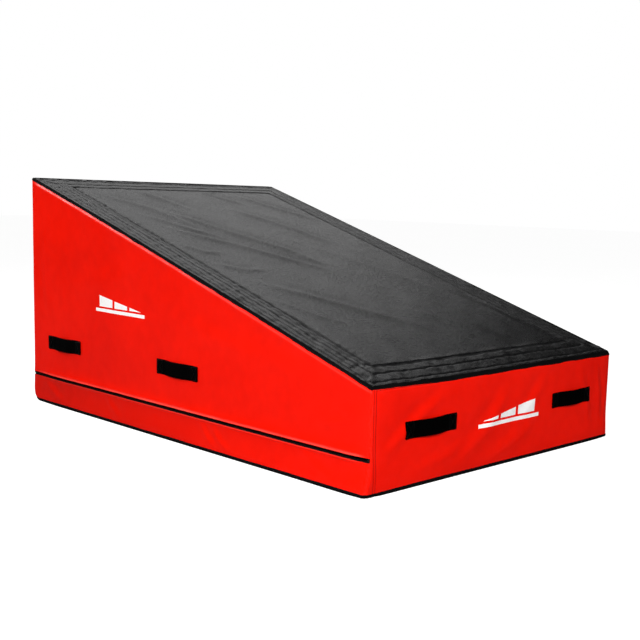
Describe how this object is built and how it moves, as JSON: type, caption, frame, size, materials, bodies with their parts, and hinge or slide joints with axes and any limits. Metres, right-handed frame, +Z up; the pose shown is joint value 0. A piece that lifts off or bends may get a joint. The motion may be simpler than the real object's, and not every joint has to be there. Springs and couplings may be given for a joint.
{
  "type": "incline wedge mat",
  "caption": "Foam incline wedge mat in a zipped vinyl cover with a woven top sheet and webbing carry handles, for gymnastics and cheerleading.",
  "frame": {"origin": "centre of the footprint, on the floor", "axes": "+Y towards the tall end along the length, +X across the mat, +Z up"},
  "size_m": [1.238, 1.848, 0.864],
  "materials": {
    "vinyl_red": "satin",
    "mesh_black": "matte",
    "binding_black": "satin",
    "bottom_black": "matte",
    "foam_base": "matte",
    "foam_wedge": "matte",
    "foam_firm": "matte",
    "zipper_tape": "matte",
    "zipper_coil": "satin",
    "zipper_metal": "satin",
    "webbing_black": "matte",
    "patch_grey": "matte"
  },
  "bodies": {
    "mat": {"back_band": "vinyl_red", "back_panel": "vinyl_red", "bottom_binding": "binding_black", "bottom_sheet": "bottom_black", "core_base_block": "foam_base", "core_top_layer": "foam_firm", "core_wedge_block": "foam_wedge", "front_panel": "vinyl_red", "handle_backing_back": "patch_grey", "handle_backing_front": "patch_grey", "handle_backing_left": "patch_grey", "handle_backing_right": "patch_grey", "handle_ends_back": "webbing_black", "handle_ends_front": "webbing_black", "handle_ends_left": "webbing_black", "handle_ends_right": "webbing_black", "side_band_left": "vinyl_red", "side_band_right": "vinyl_red", "side_panel_left": "vinyl_red", "side_panel_right": "vinyl_red", "top_binding_back": "binding_black", "top_binding_front": "binding_black", "top_binding_left": "binding_black", "top_binding_right": "binding_black", "top_border_left": "mesh_black", "top_border_low": "mesh_black", "top_border_right": "mesh_black", "top_border_tall": "mesh_black", "top_sheet": "mesh_black", "zipper_coil_lower": "zipper_coil", "zipper_coil_upper": "zipper_coil", "zipper_end_stops": "zipper_metal", "zipper_tape_lower": "zipper_tape", "zipper_tape_upper": "zipper_tape"},
    "handle_back_left": {"handle_back_left": "webbing_black"},
    "handle_back_right": {"handle_back_right": "webbing_black"},
    "handle_front_left": {"handle_front_left": "webbing_black"},
    "handle_front_right": {"handle_front_right": "webbing_black"},
    "handle_left_middle": {"handle_left_middle": "webbing_black"},
    "handle_left_rear": {"handle_left_rear": "webbing_black"},
    "handle_right_middle": {"handle_right_middle": "webbing_black"},
    "handle_right_rear": {"handle_right_rear": "webbing_black"},
    "slider_left": {"slider_left": "zipper_metal"},
    "slider_right": {"slider_right": "zipper_metal"},
    "pull_tab_left": {"pull_tab_left": "zipper_metal"},
    "pull_tab_right": {"pull_tab_right": "zipper_metal"}
  },
  "joints": [
    {"name": "handle_back_left_pull", "type": "slide", "parent": "mat", "child": "handle_back_left", "axis": [0, 1, 0], "range_m": [0, 0.012]},
    {"name": "handle_back_right_pull", "type": "slide", "parent": "mat", "child": "handle_back_right", "axis": [0, 1, 0], "range_m": [0, 0.012]},
    {"name": "handle_front_left_pull", "type": "slide", "parent": "mat", "child": "handle_front_left", "axis": [0, -1, 0], "range_m": [0, 0.012]},
    {"name": "handle_front_right_pull", "type": "slide", "parent": "mat", "child": "handle_front_right", "axis": [0, -1, 0], "range_m": [0, 0.012]},
    {"name": "handle_left_middle_pull", "type": "slide", "parent": "mat", "child": "handle_left_middle", "axis": [-1, 0, 0], "range_m": [0, 0.012]},
    {"name": "handle_left_rear_pull", "type": "slide", "parent": "mat", "child": "handle_left_rear", "axis": [-1, 0, 0], "range_m": [0, 0.012]},
    {"name": "handle_right_middle_pull", "type": "slide", "parent": "mat", "child": "handle_right_middle", "axis": [1, 0, 0], "range_m": [0, 0.012]},
    {"name": "handle_right_rear_pull", "type": "slide", "parent": "mat", "child": "handle_right_rear", "axis": [1, 0, 0], "range_m": [0, 0.012]},
    {"name": "slider_left_run", "type": "slide", "parent": "mat", "child": "slider_left", "axis": [-1, 0, 0], "range_m": [0, 0.545]},
    {"name": "pull_tab_left_flip", "type": "hinge", "parent": "slider_left", "child": "pull_tab_left", "pos_m": [-0.009, 0.9168, 0.1075], "axis": [0, 0, -1], "range_deg": [0, 100]},
    {"name": "slider_right_run", "type": "slide", "parent": "mat", "child": "slider_right", "axis": [1, 0, 0], "range_m": [0, 0.545]},
    {"name": "pull_tab_right_flip", "type": "hinge", "parent": "slider_right", "child": "pull_tab_right", "pos_m": [0.009, 0.9168, 0.1075], "axis": [0, 0, 1], "range_deg": [0, 100]}
  ]
}
